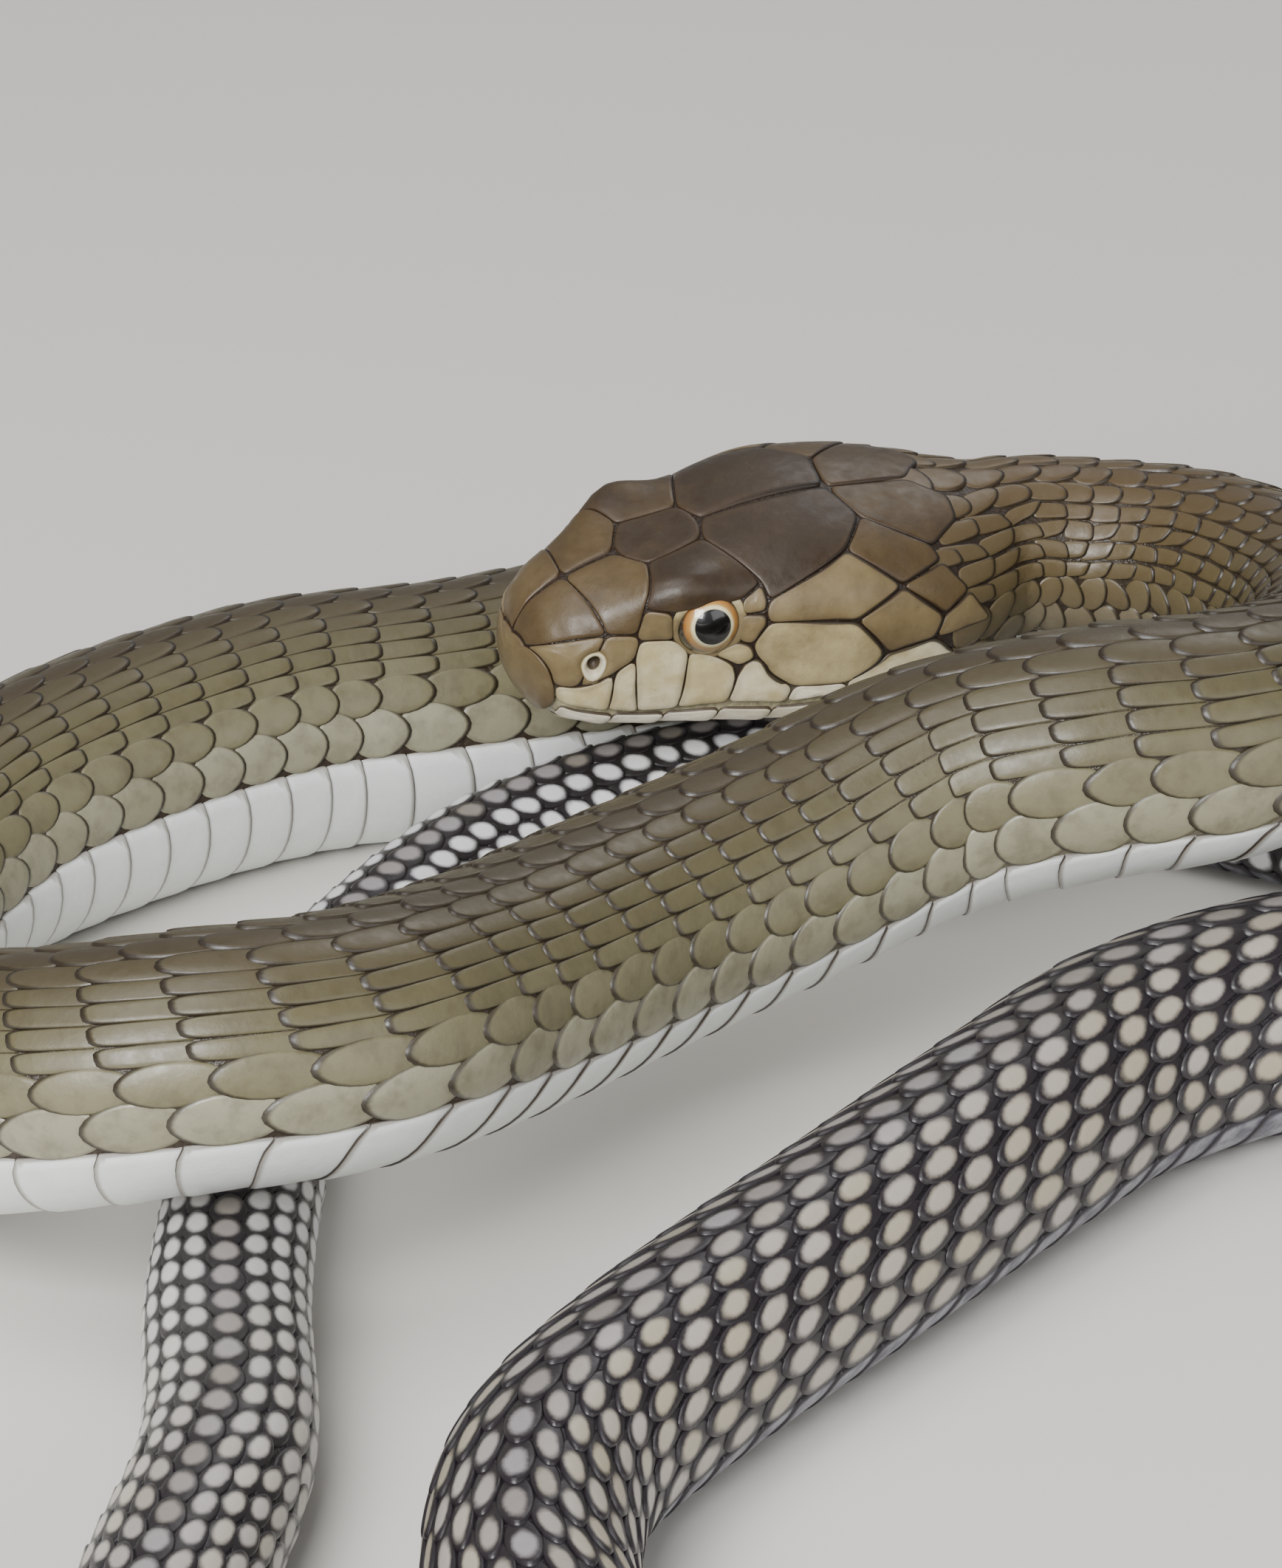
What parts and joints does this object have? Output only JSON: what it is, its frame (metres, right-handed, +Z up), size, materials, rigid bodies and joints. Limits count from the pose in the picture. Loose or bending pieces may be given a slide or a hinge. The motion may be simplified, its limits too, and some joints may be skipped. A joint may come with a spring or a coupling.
{
  "type": "king cobra",
  "caption": "Life-size king cobra at rest, coiled in loops on the floor with the head lying over its own tail.",
  "frame": {"origin": "middle of the coiled animal in plan, on the floor it lies on", "axes": "+Z up; the snout points to -X and the animal's left side looks towards -Y"},
  "size_m": [0.5661, 0.5689, 0.0733],
  "materials": {
    "head_skin": "satin",
    "front_skin": "satin",
    "rear_skin": "satin",
    "eye": "gloss"
  },
  "bodies": {
    "root": {"body_01": "front_skin", "body_02": "front_skin", "body_03": "front_skin", "body_04": "front_skin", "body_05": "front_skin", "body_06": "front_skin", "body_07": "front_skin", "body_08": "front_skin", "body_09": "front_skin", "body_10": "front_skin", "body_11": "front_skin", "body_12": "front_skin", "body_13": "front_skin", "body_14": "front_skin", "body_15": "rear_skin", "body_16": "rear_skin", "body_17": "rear_skin", "body_18": "rear_skin", "body_19": "rear_skin", "body_20": "rear_skin", "body_21": "rear_skin", "body_22": "rear_skin", "body_23": "rear_skin", "eye_left": "eye", "eye_right": "eye", "head": "head_skin", "neck_01": "front_skin", "neck_02": "front_skin", "tail_01": "rear_skin", "tail_02": "rear_skin", "tail_03": "rear_skin", "tail_04": "rear_skin", "tail_05": "rear_skin", "tail_06": "rear_skin", "tail_07": "rear_skin", "tail_08": "rear_skin"}
  },
  "joints": []
}
